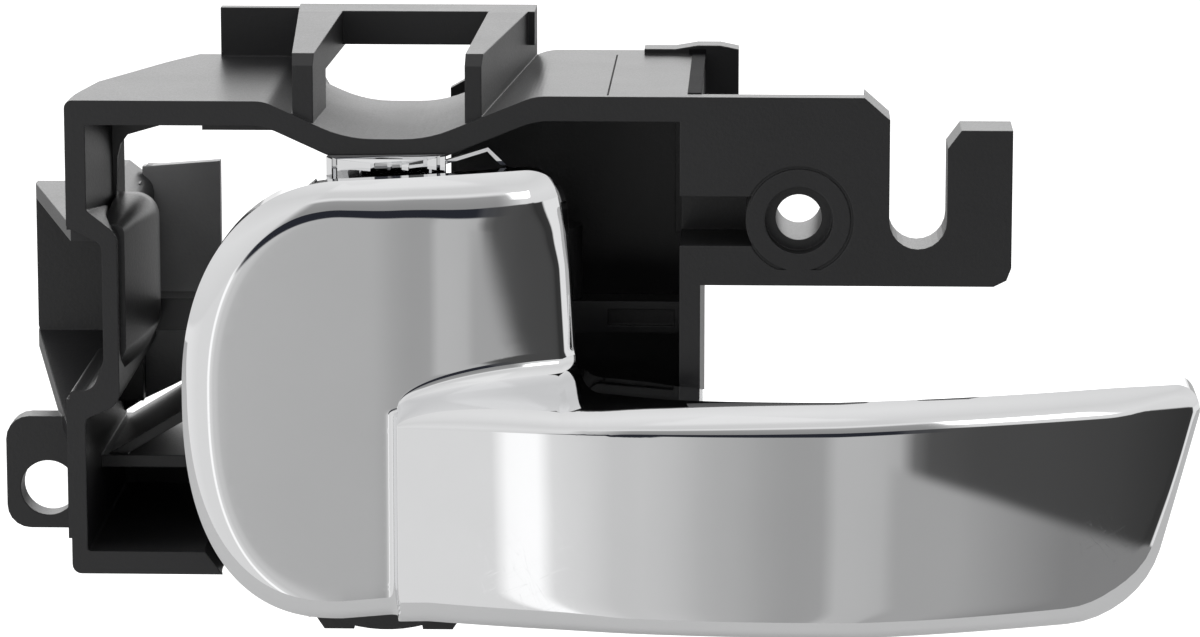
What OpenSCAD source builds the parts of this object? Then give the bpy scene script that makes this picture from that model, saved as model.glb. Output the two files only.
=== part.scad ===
// Car interior door handle: a moulded housing, a chrome-plated pull lever on a sprung hinge,
// and the small parts that hold and stop it.
// X runs to the right, Z up, and -Y towards the passenger. The origin is the fixing screw's
// axis on the plane where the housing lies against the door.
// Depths in the modules are measured backwards from the housing's front rim.

/* [Mounts] */
// Depth of the seating plane behind the front rim
seat_depth = 15.5; // [13:0.5:18]
// Diameter of the fixing screw's hole
screw_hole_d = 5.8; // [4:0.1:6.4]
// Diameter of the screw head's counterbore
screw_head_d = 8.5; // [7:0.1:10]
// Depth of the screw head's counterbore
screw_head_depth = 2.5; // [1:0.1:4]
// Diameter of the screw boss
boss_d = 13.3; // [12:0.1:14.5]
// Distance from the screw axis to the outer face of the box's right wall
screw_to_box = 12.3; // [11:0.1:14]
// Diameter of the hole in the lower left tab
tab_hole_d = 7.2; // [5:0.1:8]
// Thickness of the lower left tab
tab_t = 3.7; // [2.5:0.1:5]
// How far the tab stands out from the box
tab_reach = 9.9; // [9:0.1:12]
// Height of the tab
tab_h = 14.7; // [12:0.1:16]

/* [Housing] */
// Outer width of the box
box_w = 79.7; // [78:0.1:84]
// Depth of the box behind the front rim
box_depth = 42; // [38:0.5:48]
// Height of the box's top face above the screw axis
box_top = 15.5; // [14:0.1:18]
// Depth of the box's bottom face below the screw axis
box_bottom = 46.1; // [45:0.1:47.5]
// Thickness of the side walls
side_t = 2.6; // [2:0.1:3.2]
// Thickness of the top plate
top_t = 3.1; // [2.5:0.1:3.4]
// Thickness of the bottom wall
floor_t = 2.9; // [2.2:0.1:3.2]
// Thickness of the thin inner walls
inner_t = 2; // [1.4:0.1:2.6]
// Depth of the trough in the top plate
trough_depth = 5.5; // [4.5:0.1:5.8]
// How far the left wall steps inwards
jog = 4.4; // [3:0.1:5.5]
// Height of the loop above the top plate
loop_h = 6; // [4:0.1:8]
// Depth of the loop's cross bar from front to back
loop_bar_t = 7.2; // [6:0.1:8]

/* [Flange and hook] */
// Length of the flange to the right of the screw axis
flange_reach = 26.6; // [24:0.1:30]
// Depth of the flange's rim
flange_depth = 8; // [6:0.1:10]
// Thickness of the flange's front skin
flange_skin = 2.6; // [1.8:0.1:3.4]
// Width of the slot in the hook
slot_w = 7.2; // [5.5:0.1:8]
// Distance from the screw axis to the middle of the slot
slot_x = 14.9; // [14.5:0.1:15.5]

/* [Lever] */
// Length of the lever from its left edge to the grip's tip
lever_len = 127.2; // [122:0.1:132]
// Wall thickness of the lever's shell
shell_t = 2; // [1.5:0.1:2.4]
// Distance of the body's face in front of the rim beside the hinge
body_face = 8.6; // [8:0.1:9.2]
// Distance of the grip's face in front of the rim at its crest
grip_face = 16; // [14:0.1:17]
// Radius of the grip's bow as seen from above
grip_bow = 170; // [150:1:220]
// Depth of the grip's open back behind its face
grip_depth = 8.5; // [7:0.1:10]
// Height of the grip
grip_h = 29.9; // [28:0.1:31]

/* [Hinge] */
// Distance from the screw axis to the hinge axis
hinge_to_screw = 52; // [51:0.1:53]
// Distance of the hinge axis behind the rim
hinge_depth = 4; // [3.6:0.1:5]
// Diameter of the hinge pin
pin_d = 4; // [3:0.1:4.6]
// Diameter of the lever's barrel
barrel_d = 14; // [12:0.1:15]
// Radial play between the pin and the bushes
pin_play = 0.05; // [0.03:0.01:0.08]
// Wall thickness of the bushes
bush_t = 1.2; // [0.8:0.1:1.6]
// Length of each bush
bush_len = 8; // [5:0.5:10]
// Thickness of the bushes' flanges
bush_flange_t = 0.8; // [0.6:0.1:1.2]
// Running gap at the ends of the barrel
end_gap = 0.3; // [0.2:0.05:0.5]
// Thickness of the retaining clip
clip_t = 0.6; // [0.4:0.1:0.8]

/* [Spring and stops] */
// Wire diameter of the return spring
wire_d = 1.2; // [0.9:0.1:1.4]
// Mean diameter of the spring's coil
coil_d = 8.8; // [8:0.1:9.6]
// Turns of the spring's coil
coil_turns = 8; // [5:1:9]
// Swing of the lever in degrees, from rest to its stop
swing = 34; // [26:1:36]
// Diameter of the rubber bumpers
bumper_d = 6; // [5:0.1:7]
// Length of the crank arm behind the hinge
arm_len = 28; // [26:0.5:29]
// Width of the crank arm
arm_w = 8; // [6:0.1:9]
// Thickness of the crank arm
arm_t = 4; // [3:0.1:5]
// Diameter of the latch rod that the rod clip takes
rod_d = 3; // [2.5:0.1:3.4]

/* [Hidden] */
$fn = 64;
fine = 0.01;
seat_play = 0.02;

// Box
right_x = -screw_to_box;
left_x = right_x - box_w;
top_z = box_top;
bottom_z = -box_bottom;
trough_z = top_z - trough_depth;
under_z = trough_z - top_t;
jog_x = left_x + jog;
jog_top_z = -1.3;
jog_bottom_z = -22.4;
pocket_back = box_depth - 7;
recess_depth = 12;
back_y = box_depth - inner_t;
shelf_z = -34;
shelf_y = 15.3;
bar_y = 20;
bar_depth = 5;
bar_top_z = -14.2;
bar_h = 4.2;

// Hinge
hinge_x = -hinge_to_screw;
barrel_r = barrel_d / 2;
pin_r = pin_d / 2;
bush_r = pin_r + pin_play + bush_t;
barrel_top_z = under_z - end_gap;
ear_top_z = -50.6;
ear_t = 2.4;
barrel_bottom_z = ear_top_z + clip_t + end_gap;
coil_top_z = -16;
spring_leg = 13;
coil_pitch = wire_d + 0.3;
coil_bottom_z = coil_top_z - (coil_turns + 0.25) * coil_pitch;
upper_knuckle_z = coil_top_z + wire_d + 2.5;
lower_knuckle_z = coil_bottom_z - wire_d - 2;
arm_z = -9.6;
blind_cap = 0.9;

// Rod clip in the arm's end
clip_stem_r = 2.4;
clip_collar_z = arm_z + arm_t + 0.1;
clip_collar_t = 1.4;
clip_body_z = clip_collar_z + clip_collar_t - 0.3;
clip_wall = 1.2;
rod_z = clip_body_z + clip_wall + rod_d / 2 - 0.2;

// Stops: the bumpers' axes lie on the bar, so that the arm's sides meet them at rest and at full swing
bumper_y = bar_y + bar_depth / 2;
bumper_gap = 0.15;
bumper_side = arm_w / 2 + bumper_d / 2 + bumper_gap;
bumper_back = bumper_y - hinge_depth;
rest_bumper_x = hinge_x - bumper_side;
travel_along = (bumper_back + bumper_side * sin(swing)) / cos(swing);
travel_bumper_x = hinge_x + bumper_side * cos(swing) + travel_along * sin(swing);

// Points of one rounded corner at b between its neighbours a and c, corners being [x, z, radius]
function unit(v) = v / norm(v);
function corner(a, b, c, steps) =
    let (
        p = [b[0], b[1]],
        u = unit([a[0], a[1]] - p),
        v = unit([c[0], c[1]] - p),
        half = acos(max(-1, min(1, u * v))) / 2,
        mid = p + unit(u + v) * b[2] / sin(half),
        from = p + u * b[2] / tan(half) - mid,
        to = p + v * b[2] / tan(half) - mid,
        sweep = 180 - 2 * half
    )
    b[2] == 0 ? [p] : [for (i = [0:steps])
        mid + (from * sin(sweep * (1 - i / steps)) + to * sin(sweep * i / steps)) / sin(sweep)];
function rounded(list, steps = 5) = let (n = len(list))
    [for (i = [0:n - 1]) each corner(list[(i + n - 1) % n], list[i], list[(i + 1) % n], steps)];

// The same outline moved inwards by d; the outline runs clockwise as seen from the front
function side_normal(a, b) = let (u = unit(b - a)) [u[1], -u[0]];
function inset(list, d) = let (n = len(list))
    [for (i = [0:n - 1])
        let (
            before = side_normal(list[(i + n - 1) % n], list[i]),
            after = side_normal(list[i], list[(i + 1) % n])
        )
        list[i] + (before + after) * d / (1 + before * after)];

// A front-view shape, in X and Z, made solid between two depths behind the rim
module slab(from, to) translate([0, to, 0]) rotate([90, 0, 0]) linear_extrude(to - from) children();
// A box between two corners
module block(a, b) translate(a) cube(b - a);
// A cylinder on the hinge axis between two heights
module on_hinge(r, low, high) translate([hinge_x, hinge_depth, low]) cylinder(r = r, h = high - low);
// Everything is drawn behind the rim and then moved so that the seat is the plane Y = 0
module from_rim() translate([0, -seat_depth, 0]) children();

// Outline of the top plate with its trough, and of the box, clockwise from the upper left corner
trough_left = [hinge_x - 15, hinge_x - 4.7];
trough_right = [hinge_x + 5.5, hinge_x + 19];
trough_end = 32.5;
left_drop = 0.8;
function plate_line(drop, soften) = [
    [trough_left[0], top_z - left_drop - drop, 5 + soften],
    [trough_left[1], trough_z - drop, 16 - soften],
    [trough_right[0], trough_z - drop, 16 - soften],
    [trough_right[1], top_z - drop, 7 + soften]];
box_outline = rounded(concat(
    [[left_x, top_z - left_drop, 1]],
    plate_line(0, 0),
    [[right_x, top_z, 0], [right_x, bottom_z, 0.8], [left_x, bottom_z, 1.2],
    [left_x, jog_bottom_z, 0.6], [jog_x - 1.4, jog_bottom_z, 2],
    [jog_x, jog_bottom_z + 4, 1.2], [jog_x, jog_top_z - 2.3, 1.2], [left_x, jog_top_z, 0.3]]));
box_hollow = rounded(concat(
    [[left_x + side_t, top_z - left_drop - top_t, 0.3]],
    plate_line(top_t, 3),
    [[right_x - side_t, top_z - top_t, 0], [right_x - side_t, bottom_z + floor_t, 0.4],
    [left_x + side_t - 0.6, bottom_z + floor_t, 0.4],
    [left_x + side_t - 0.6, jog_bottom_z - 3.6, 1], [jog_x + side_t - 0.6, jog_bottom_z - 1.8, 2.5],
    [jog_x + side_t - 0.6, jog_top_z - 1, 2.5], [left_x + side_t, jog_top_z + 2, 0.5]]));

// Flange and hook with the slot between them, clockwise
flange_bottom_z = -8.3;
hook_top_z = 11.45;
slot_r = slot_w / 2;
flange_outline = concat(
    [[right_x - side_t, top_z], [slot_x - slot_r - 3.2, top_z], [slot_x - slot_r, top_z - 2.8]],
    [for (a = [180:15:360]) [slot_x + slot_r * cos(a), slot_r * sin(a)]],
    [[slot_x + slot_r, hook_top_z - 2.3], [slot_x + slot_r + 1.7, hook_top_z], [flange_reach, hook_top_z],
    [flange_reach, flange_bottom_z + 2.4], [flange_reach - 0.6, flange_bottom_z + 0.8],
    [flange_reach - 2.2, flange_bottom_z],
    [right_x - side_t, flange_bottom_z]]);
module flange() {
    rim_t = 1.8;
    slab(0, flange_skin) polygon(flange_outline);
    slab(0, flange_depth) {
        // The rim leaves out the top edge between the box and the slot's tooth
        difference() {
            polygon(flange_outline);
            polygon(inset(flange_outline, rim_t));
            translate([right_x + fine, top_z - 2 * rim_t])
                square([slot_x - slot_r - 3.2 - right_x, 3 * rim_t]);
        }
        // Stiffening ribs that run out from the boss
        translate([-1, boss_d / 2 - 1]) square([2, top_z - rim_t - boss_d / 2]);
        translate([boss_d / 2 - 1, -1]) square([slot_x - slot_r - boss_d / 2, 2]);
    }
    // Walls and floor of the deep recess between the box and the boss
    slab(0, recess_depth + 1.6) for (z = [-5.2, 3.2]) translate([right_x - fine, z]) square([-right_x, 2]);
    slab(recess_depth, recess_depth + 1.6) translate([right_x - fine, -5]) square([-right_x, 10]);
}

// Triangular pocket outside the left wall's step
pocket_x = left_x - 8.4;
module pocket() {
    roof = [[left_x + 0.5, 0.6], [pocket_x, pocket_back - inner_t], [pocket_x, pocket_back],
        [jog_x + fine, pocket_back], [jog_x + fine, 0.6]];
    translate([0, 0, jog_top_z - inner_t]) linear_extrude(inner_t) polygon(roof);
    slab(pocket_back - inner_t, pocket_back) polygon([[pocket_x, jog_top_z], [jog_x + 1, jog_top_z],
        [jog_x + 1, -30.5], [left_x - 5, -30.5], [pocket_x, -20.4]]);
    // Sloping lower wall from the back down to the outside of the left wall
    intersection() {
        translate([0, 0, -40]) linear_extrude(40) polygon(roof);
        translate([pocket_x, 0, 0]) rotate([90, 0, 90]) linear_extrude(left_x - pocket_x + 1)
            polygon([[pocket_back, -20.4], [pocket_back, -22.6], [6, -31], [6, -28.8]]);
    }
}

// Loop over the trough: two leaning ribs and a cross bar, with a standing block at their left
loop_z = top_z + loop_h;
module loop_frame() {
    rib_base = trough_z + 0.6;
    front_chamfer = 1.4;
    bar_low_z = loop_z - 4.4;
    difference() {
        translate([0, 0, rib_base]) linear_extrude(loop_z - rib_base) {
            polygon([[hinge_x - 11.4, 0.8], [hinge_x - 14, box_depth], [hinge_x - 7.6, box_depth],
                [hinge_x - 8.8, 0.8]]);
            polygon([[hinge_x + 10.2, 0.8], [hinge_x + 11.6, box_depth], [hinge_x + 17.4, box_depth],
                [hinge_x + 12.3, 0.8]]);
        }
        // The ribs rise from their blunt front end and climb to the cross bar
        translate([hinge_x - 30, 0, 0]) rotate([90, 0, 90]) linear_extrude(60)
            polygon([[-1, loop_z + 1], [-1, loop_z - 2.8], [0.8, loop_z - 2.4],
                [0.8 + front_chamfer, loop_z - 1], [back_y - 6, loop_z], [back_y - 6, loop_z + 1]]);
        // Behind its front end the left rib is an arm with an open space under it
        slab(15, box_depth + 1) translate([hinge_x, 0])
            polygon([[-7, bar_low_z - 0.4], [-10.9, bar_low_z - 0.4], [-10.9, trough_z + 2],
                [-9.4, trough_z - 0.6], [-7, trough_z - 0.6]]);
    }
    block([hinge_x - 13.6, box_depth - loop_bar_t, bar_low_z], [hinge_x + 17.4, box_depth, loop_z]);
    block([left_x + 15.6, box_depth - inner_t, top_z - left_drop - top_t],
        [hinge_x - 12, box_depth, loop_z - 0.3]);
}

// Corners of the top plate's leaning left edge, and of the slanted wall under it, as [x, depth]
leaning_edge = [[left_x, 0.5], [left_x + 2.3, 16.4], [left_x + 8.9, 33.9], [left_x + 13, box_depth + 1]];

// Lower ear that carries the pin: a dropped floor with a round rib under it and two walls beside it
ear_half_w = 9;
module lower_ear() {
    ear_r = (ear_half_w * ear_half_w + ear_t * ear_t) / (2 * ear_t);
    foot_z = ear_top_z - ear_t - 0.8;
    ear_back = 26;
    slab(-0.4, ear_back) intersection() {
        translate([hinge_x, ear_top_z - ear_t + ear_r]) circle(r = ear_r);
        translate([hinge_x - ear_half_w, ear_top_z - ear_t]) square([2 * ear_half_w, ear_t]);
    }
    for (side = [-1, 1])
        slab(3, ear_back) polygon([for (p = [[4.4, foot_z], [8.2, foot_z], [9.4, ear_top_z - 1.4],
            [9.4, ear_top_z + 0.1], [4, ear_top_z - 1]]) [hinge_x + side * p[0], p[1]]]);
    for (side = [-1, 1])
        block([hinge_x + side * (ear_half_w + 0.5) - 1, hinge_depth + 1.8, ear_top_z - ear_t],
            [hinge_x + side * (ear_half_w + 0.5) + 1, ear_back, bottom_z + floor_t]);
    block([hinge_x - ear_half_w, ear_back - inner_t, ear_top_z - ear_t],
        [hinge_x + ear_half_w, ear_back, bottom_z + floor_t]);
}

// Clearance for the lever's lower left edge, which swings back through the bottom wall's front
module swing_clearance() {
    wide = 23.4;
    narrow = 21.2;
    intersection() {
        translate([hinge_x, hinge_depth, bottom_z - fine])
            cylinder(r1 = narrow, r2 = wide, h = floor_t + 2 * fine);
        block([hinge_x - 30, -1, bottom_z - 1], [hinge_x, hinge_depth + 7, bottom_z + floor_t + 1]);
    }
    on_hinge(barrel_r + 0.8, bottom_z - 1, bottom_z + floor_t + 1);
}

module tab() {
    tab_left = left_x - tab_reach;
    tab_top_z = -28.2;
    slab(seat_depth - tab_t, seat_depth) polygon(rounded([[tab_left, tab_top_z - tab_h, 3],
        [tab_left, tab_top_z, 3], [left_x + 1, tab_top_z, 0], [left_x + 1, tab_top_z - tab_h, 0]]));
}
tab_hole = [left_x - 4.5, -37.6];
groove_w = 0.4;
groove_depth = 0.3;

module housing() color("#26272a") from_rim() difference() {
    union() {
        difference() {
            slab(0, box_depth) difference() {
                polygon(box_outline);
                polygon(box_hollow);
            }
            // The top plate's left edge leans inwards and the plate ends behind the trough
            translate([0, 0, jog_top_z + 1.7]) linear_extrude(40) polygon(concat([[left_x - 1, 0.5]],
                leaning_edge, [[left_x - 1, box_depth + 1]]));
            block([hinge_x - 11, trough_end, trough_z - top_t - 1], [hinge_x + 12, box_depth + 1, top_z + 1]);
            swing_clearance();
        }
        // Slanted wall below the plate's leaning edge, with its large window
        difference() {
            translate([0, 0, jog_top_z - 0.5]) linear_extrude(top_z - left_drop - top_t - jog_top_z + 1)
                intersection() {
                    polygon(concat(leaning_edge,
                        [for (i = [3:-1:0]) leaning_edge[i] + [side_t - 0.2 * i, 0]]));
                    translate([left_x - 1, 0]) square([box_w, back_y + 1]);
                }
            slab(18, box_depth + 1) polygon(rounded([[left_x + 4, jog_top_z - 1, 0], [left_x + 4, 11, 3.5],
                [left_x + 20, 11, 0], [left_x + 20, jog_top_z - 1, 0]]));
        }
        // Lip under the plate, back walls, shelf, oblique rib and cross bar
        block([left_x + 17, 3, top_z - left_drop - top_t - 1],
            [trough_left[0] + 1, back_y, top_z - left_drop - 1]);
        slab(back_y, box_depth) {
            translate([left_x + side_t, bottom_z + 1]) square([box_w - side_t - 1, shelf_z - bottom_z - 1]);
            polygon([[hinge_x + 6, shelf_z - inner_t], [hinge_x + 6, top_z - 4.9], [hinge_x + 9.4, top_z - 3],
                [right_x - 1, top_z - 3], [right_x - 1, shelf_z - inner_t]]);
            polygon([[jog_x + 1, 0], [left_x + 15.2, 0], [left_x + 15.2, -26], [left_x + 9, -29.5],
                [jog_x + 0.5, -31.5], [left_x + 1, shelf_z], [left_x + 1, -27], [jog_x + 1, -24]]);
        }
        block([left_x + 1, shelf_y, shelf_z - 1.6], [right_x - 1, box_depth, shelf_z]);
        slab(shelf_y + 1, box_depth) polygon([[left_x + 2, shelf_z - 0.5], [left_x + 4.4, shelf_z - 0.5],
            [left_x + 15.4, -28], [left_x + 13.8, -27.4]]);
        block([jog_x + 1, bar_y, bar_top_z - bar_h], [right_x - 1, bar_y + bar_depth, bar_top_z]);
        // Lug that holds the spring's long leg
        block([hinge_x + coil_d / 2 + wire_d / 2 + 0.05, bar_y - 5, bar_top_z - bar_h],
            [hinge_x + coil_d / 2 + wire_d / 2 + 2.2, bar_y + 1, bar_top_z]);
        flange();
        translate([0, seat_depth, 0]) rotate([90, 0, 0]) cylinder(d = boss_d, h = seat_depth);
        pocket();
        loop_frame();
        lower_ear();
        tab();
        // Raised strip on the left wall, and the post at the back right with its small flange
        block([left_x - 0.4, 0, -41.5], [left_x + 1, 6, -23.5]);
        slab(box_depth - 4, box_depth) polygon([[right_x - 3.9, flange_bottom_z],
            [right_x - 3.9, top_z + 0.7], [right_x - 1, top_z + 1.2], [right_x + 2, top_z + 1.2], [right_x + 4.4, top_z + 0.7],
            [right_x + 4.4, flange_bottom_z]]);
        block([right_x - 8, box_depth - 4, top_z - 0.6], [right_x, box_depth, top_z + 0.7]);
    }
    // Screw hole and counterbore, tab hole, recess to the boss
    translate([0, seat_depth + 1, 0]) rotate([90, 0, 0]) cylinder(d = screw_hole_d, h = seat_depth + 2);
    translate([0, screw_head_depth, 0]) rotate([90, 0, 0]) cylinder(d = screw_head_d, h = screw_head_depth + 1);
    translate([tab_hole[0], seat_depth + 1, tab_hole[1]]) rotate([90, 0, 0])
        cylinder(d = tab_hole_d, h = tab_t + 2);
    difference() {
        block([right_x - side_t - 1, -1, -3.3], [-boss_d / 2 + 1.2, recess_depth, 3]);
        translate([0, seat_depth, 0]) rotate([90, 0, 0]) cylinder(d = boss_d, h = seat_depth + 2);
    }
    // Fine groove round the boss, recessed panel in the cross bar and the pocket's narrow slit
    slab(-1, groove_depth) intersection() {
        difference() {
            circle(d = boss_d + groove_w);
            circle(d = boss_d - groove_w);
        }
        polygon(inset(flange_outline, 2));
    }
    block([right_x - 12.2, bar_y - 1, bar_top_z - bar_h + 1],
        [right_x - side_t - 1, bar_y + 0.8, bar_top_z - 1.1]);
    block([left_x + 1.2, pocket_back - 3, -18.5], [jog_x - 0.6, pocket_back + 1, -17.5]);
    // Blind hole for the pin under the trough, and the pin's hole in the lower ear
    on_hinge(pin_r + seat_play, under_z - 1, trough_z - blind_cap);
    on_hinge(pin_r + seat_play, ear_top_z - ear_t - 3, ear_top_z + 1);
    // Holes for the bumpers' stems in the cross bar
    for (x = [rest_bumper_x, travel_bumper_x])
        translate([x, bumper_y, bar_top_z - bar_h - 1]) cylinder(d = bumper_d / 2, h = bar_h + 2);
}

// Lever: upper and lower edge as seen from the front, as [x, z] from left to right
lever_left = hinge_x - 24.8;
lever_right = lever_left + lever_len;
body_right = hinge_x + 24;
body_top_z = 6.5;
grip_top_z = -20.7;
grip_bottom_z = grip_top_z - grip_h;
body_mid_z = -21;
body_bottom_z = -50;
grip_mid_x = hinge_x + 57;
function swell(cx, rx, rz, power, x) = rz * pow(max(0, 1 - pow(abs(x - cx) / rx, power)), 1 / power);
left_steps = [0, 0.004, 0.02, 0.05, 0.1, 0.17, 0.26, 0.37, 0.5, 0.65, 0.82, 1];
upper_left_x = hinge_x - 4;
upper_swell = body_top_z - 0.7 - body_mid_z;
upper_edge = concat(
    [for (s = left_steps) let (x = lever_left + s * (upper_left_x - lever_left))
        [x, body_mid_z + swell(upper_left_x, upper_left_x - lever_left, upper_swell, 2.2, x)]],
    [for (p = rounded([[upper_left_x, body_top_z - 30, 0], [upper_left_x + fine, body_top_z - 0.7, 0],
            [body_right - 1.2, body_top_z + 0.3, 5.2], [body_right + 0.35, grip_top_z + 0.6, 3.6],
            [body_right + 12, grip_top_z + 0.1, 30], [grip_mid_x, grip_top_z - 0.1, 30],
            [lever_right + 0.6, grip_top_z + 0.7, 3.2], [lever_right, grip_top_z - 3.8, 0]], 6))
        if (p[0] > upper_left_x + 2 * fine) p]);
lower_left_x = hinge_x - 5;
lower_swell = body_mid_z - body_bottom_z;
lower_edge = concat(
    [for (s = left_steps) let (x = lever_left + s * (lower_left_x - lever_left))
        [x, body_mid_z - swell(lower_left_x, lower_left_x - lever_left, lower_swell, 2.45, x)]],
    [for (p = rounded([[lever_right, grip_top_z - 3.8, 0], [lever_right - 5.2, grip_bottom_z + 0.5, 10.5],
            [grip_mid_x + 3, grip_bottom_z, 40], [hinge_x + 6, body_bottom_z + 0.8, 10],
            [lower_left_x + fine, body_bottom_z, 0],
            [lower_left_x, body_mid_z, 0]], 6))
        if (p[0] > lower_left_x + 2 * fine) p]);
// The right-hand run above comes back from the tip, so it is put in order of x
function by_x(list) = len(list) < 2 ? list : let (
        pivot = list[floor(len(list) / 2)][0],
        less = [for (p = list) if (p[0] < pivot) p],
        same = [for (p = list) if (p[0] == pivot) p],
        more = [for (p = list) if (p[0] > pivot) p])
    concat(by_x(less), [same[0]], by_x(more));
upper_run = by_x(upper_edge);
lower_run = by_x(lower_edge);
lever_outline = concat(upper_run, [for (i = [len(lower_run) - 1:-1:0]) lower_run[i]]);

// Edge heights at x, moved inwards by d all round
reach = [-1, -0.85, -0.6, -0.3, 0, 0.3, 0.6, 0.85, 1];
function top_at(x, d) = d == 0 ? lookup(x, upper_run)
    : min([for (k = reach) lookup(x + k * d, upper_run) - d * sqrt(1 - k * k)]);
function low_at(x, d) = d == 0 ? lookup(x, lower_run)
    : max([for (k = reach) lookup(x + k * d, lower_run) + d * sqrt(1 - k * k)]);

// Distance from a point to the lever's outline
function to_side(p, a, b) = let (
        ab = b - a,
        t = max(0, min(1, ((p - a) * ab) / (ab * ab)))
    ) norm(p - a - t * ab);
function to_edge(p) = min([for (i = [0:len(lever_outline) - 1])
    let (a = lever_outline[i], b = lever_outline[(i + 1) % len(lever_outline)])
    if (norm(b - a) > fine / 10) to_side(p, a, b)]);

// Height of the lever's face in front of the rim, of its rounded edge and of its open back
function ease(t) = let (c = max(0, min(1, t))) c * c * (3 - 2 * c);
grip_crest_x = hinge_x + 37;
grip_mid_z = grip_top_z - 15.3;
grip_crown = 300;
step_x = hinge_x + 2.2;
body_turn = 0.07;
body_bend = 0.0051;
function body_at(x) = body_face - body_turn * (x - hinge_x + 4)
    - body_bend * pow(max(0, x - hinge_x + 1.2), 2);
function grip_at(x, z) = grip_face - pow(x - grip_crest_x, 2) / (2 * grip_bow)
    - pow(z - grip_mid_z, 2) / (2 * grip_crown);

// The grip rises out of the body over a curved line, and steeply at the step on its left
shoulder_x = body_right - 1.4;
blend_low = grip_top_z - 3.7;
function blend_top(x) = x > shoulder_x ? -15.7 + (x - shoulder_x) * 0.5
    : -22.5 + 6.8 * sqrt(max(0, 1 - pow(min(1, (shoulder_x - x) / (shoulder_x - step_x)), 2)));
function rise(t) = let (u = max(0, min(1, t)), a = 0.16, b = 0.5)
    2 / (1 + b - a) * (u < a ? u * u / (2 * a) : u < b ? u - a / 2
        : u - a / 2 - (u - b) * (u - b) / (2 - 2 * b));
function face_at(x, z, d) = body_at(x) + max(0, grip_at(x, z) - body_at(x))
    * ease((x - step_x - d) / 1.1 + 0.5) * rise((blend_top(x) - d - z) / max(1.9, blend_top(x) - blend_low));

// The outer edges are rounded, and stop short of upright by the angle edge_stop
edge_stop = 50;
function edge_drop(dist, r, d) = let (u = min(r - d, max(0, r * sin(edge_stop) - dist)))
    r - d - sqrt(max(0, (r - d) * (r - d) - u * u));
function edge_radius(x) = 5.8 - 1.3 * ease((x - body_right + 2) / 10) - 2 * ease((x - lever_right + 6) / 5);
function back_at(x) = 2.5 - 2.5 * ease((x - hinge_x - 8) / 10)
    + (grip_at(x, grip_mid_z) - grip_depth) * ease((x - body_right - 3) / 22);

// Ribs inside the shell
grip_ribs = [for (o = [38, 54, 70, 85]) hinge_x + o];
body_rib_x = hinge_x - 14;
rib_t = 1.4;
rib_back = 1.4;
rib_edge = 0.06;
rib_z = -35.4;
ribs_x = concat([body_rib_x], grip_ribs);
rib_reach = rib_t / 2 + rib_edge / 2;
function long_rib(x) = x > body_right + 4 && x < lever_right - 6;
function on_rib(x, z) = max(concat([long_rib(x) && abs(z - rib_z) < rib_reach ? 1 : 0],
    [for (r = ribs_x) abs(x - r) < rib_reach ? 1 : 0])) > 0;
function hollow_at(x, z, dist) = on_rib(x, z) ? back_at(x) + rib_back
    : face_at(x, z, shell_t) - shell_t - edge_drop(dist, edge_radius(x), shell_t);

// Stations along the lever, close together where its outline or its section changes fast
plain_x = [for (o = [-18, -10, -6, -2, 0.8, 1.6, 1.9, 2.2, 2.5, 2.8, 3.4, 4.4, 6, 9, 13, 17, 19.8,
    20.7, 21.4, 22, 22.6, 23.1, 23.5, 23.8, 24, 24.2, 24.6, 25.2, 26, 27.5, 30, 34, 42, 48, 60, 65, 76,
    81, 90, 93.5, 96, 98]) hinge_x + o];
rib_stations = [for (r = ribs_x, o = [-1, 1], e = [0, 1]) r + o * (rib_t / 2 + e * rib_edge)];
end_x = [0.08, 0.25, 0.6, 1.2, 2.3, 4];
function in_order(list) = len(list) < 2 ? list : let (
        pivot = list[floor(len(list) / 2)],
        less = [for (v = list) if (v < pivot) v],
        more = [for (v = list) if (v > pivot) v])
    concat(in_order(less), [pivot], in_order(more));
station_x = in_order(concat([for (e = end_x) lever_left + e], [for (e = end_x) lever_right - e],
    [for (x = plain_x) if (x > lever_left + 4.5 && x < lever_right - 4.5) x], rib_stations));
inner_scale = (lever_len - 2 * shell_t) / lever_len;
lever_mid = (lever_left + lever_right) / 2;

// Heights of the rows at x from the upper edge t to the lower edge b; some follow the grip's blend
function blend_rows(x, t, b) = let (hi = max(min(blend_top(x), t - 1.2), b + 0.45 * (t - b)))
    [hi, max(min(blend_low, hi - 1.9), b + 0.3 * (t - b))];
function spread(a, b, list) = [for (v = list) a + (b - a) * v];
function outer_rows(x, t, b) = let (h = blend_rows(x, t, b))
    concat(spread(t, h[0], [0, 0.02, 0.08, 0.2, 0.45, 1]), spread(h[0], h[1], [0.33, 0.67]),
        spread(h[1], b, [0, 0.4, 0.7, 0.84, 0.92, 0.975, 1]));
function inner_rows(x, t, b) = let (
        h = blend_rows(x, t, b),
        mid = max(rib_z, (h[1] + b) / 2),
        half = min(rib_t / 2, (h[1] - b) * 0.2),
        edge = min(rib_edge, half * 0.1))
    concat(spread(t, h[0], [0, 0.12, 0.4, 1]), spread(h[0], h[1], [0.33, 0.67, 1]),
        [mid + half + edge, mid + half, mid - half, mid - half - edge], spread(mid, b, [0.5, 0.8, 0.94, 1]));

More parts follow.
